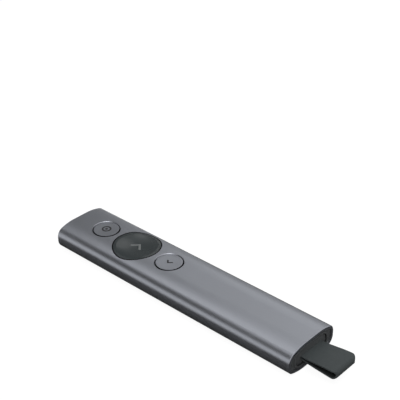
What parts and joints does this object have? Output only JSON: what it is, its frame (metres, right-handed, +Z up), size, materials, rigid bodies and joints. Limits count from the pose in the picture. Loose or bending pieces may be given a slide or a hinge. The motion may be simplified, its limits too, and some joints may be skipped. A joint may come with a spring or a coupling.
{
  "type": "wireless presentation clicker",
  "caption": "Slim oval aluminium presentation remote with small and large round top buttons, a soft back pad, and a stowed USB receiver with a pull strap in its tail.",
  "frame": {"origin": "middle of the body's flat underside, strap left out", "axes": "+X from the head end to the tail end and strap, +Z up through the buttons, +Y across"},
  "size_m": [0.1475, 0.028, 0.0121],
  "materials": {
    "anodised_shell": "fine bead-blasted and anodised, satin",
    "dark_moulding": "fine texture",
    "key_moulding": "satin",
    "soft_pad": "soft touch",
    "strap_elastomer": "smooth matt",
    "inner_moulding": "fine texture",
    "board_laminate": "solder mask",
    "chip_moulding": "matt",
    "switch_moulding": "matt",
    "tinned_sheet": "rolled",
    "spring_steel": "bright rolled",
    "screw_steel": "black plated",
    "turned_steel": "turned",
    "cell_foil": "laminated foil",
    "adhesive_foam": "foam",
    "tongue_moulding": "matt",
    "contact_plating": "gold plated"
  },
  "bodies": {
    "housing": {"back_pad": "soft_pad", "back_plate": "inner_moulding", "back_switch_base": "switch_moulding", "back_switch_cover": "tinned_sheet", "back_switch_dome": "spring_steel", "battery_adhesive": "adhesive_foam", "battery_cell": "cell_foil", "battery_tabs": "tinned_sheet", "chip_antenna": "chip_moulding", "dock_springs": "spring_steel", "head_cap": "anodised_shell", "housing_sleeve": "anodised_shell", "inner_frame": "inner_moulding", "main_board": "board_laminate", "motion_sensor": "chip_moulding", "motor_case": "tinned_sheet", "motor_cover": "tinned_sheet", "motor_shaft": "turned_steel", "next_switch_base": "switch_moulding", "next_switch_cover": "tinned_sheet", "next_switch_dome": "spring_steel", "plate_screws": "screw_steel", "pointer_switch_base": "switch_moulding", "pointer_switch_cover": "tinned_sheet", "pointer_switch_dome": "spring_steel", "processor_chip": "chip_moulding", "radio_shield": "tinned_sheet", "receiver_dock": "inner_moulding", "tail_bezel": "dark_moulding", "usb_c_shell": "tinned_sheet", "usb_c_tongue": "tongue_moulding"},
    "pointer_key": {"pointer_button": "anodised_shell", "pointer_switch_stem": "switch_moulding"},
    "next_key": {"next_button": "key_moulding", "next_switch_stem": "switch_moulding"},
    "back_key": {"back_button": "anodised_shell", "back_switch_stem": "switch_moulding"},
    "motor_weight": {"motor_rotor": "turned_steel"},
    "receiver": {"receiver_board": "board_laminate", "receiver_body": "dark_moulding", "receiver_chip": "chip_moulding", "receiver_contacts": "contact_plating", "receiver_nose": "dark_moulding", "receiver_strap": "strap_elastomer", "receiver_usb_shell": "tinned_sheet", "receiver_usb_tongue": "tongue_moulding"}
  },
  "joints": [
    {"name": "pointer_press", "type": "slide", "parent": "housing", "child": "pointer_key", "axis": [0, 0, -1], "range_m": [0, 0.0005], "stiffness_N_per_m": 2400, "deforming": ["pointer_switch_dome"]},
    {"name": "next_press", "type": "slide", "parent": "housing", "child": "next_key", "axis": [0, 0, -1], "range_m": [0, 0.0005], "stiffness_N_per_m": 2800, "deforming": ["next_switch_dome"]},
    {"name": "back_press", "type": "slide", "parent": "housing", "child": "back_key", "axis": [0, 0, -1], "range_m": [0, 0.0005], "stiffness_N_per_m": 2400, "deforming": ["back_switch_dome"]},
    {"name": "receiver_slide", "type": "slide", "parent": "housing", "child": "receiver", "axis": [1, 0, 0], "range_m": [0, 0.03]},
    {"name": "motor_spin", "type": "hinge", "parent": "housing", "child": "motor_weight", "pos_m": [0.00325, 0, 0.00675], "axis": [0, 0, 1], "continuous": true}
  ]
}
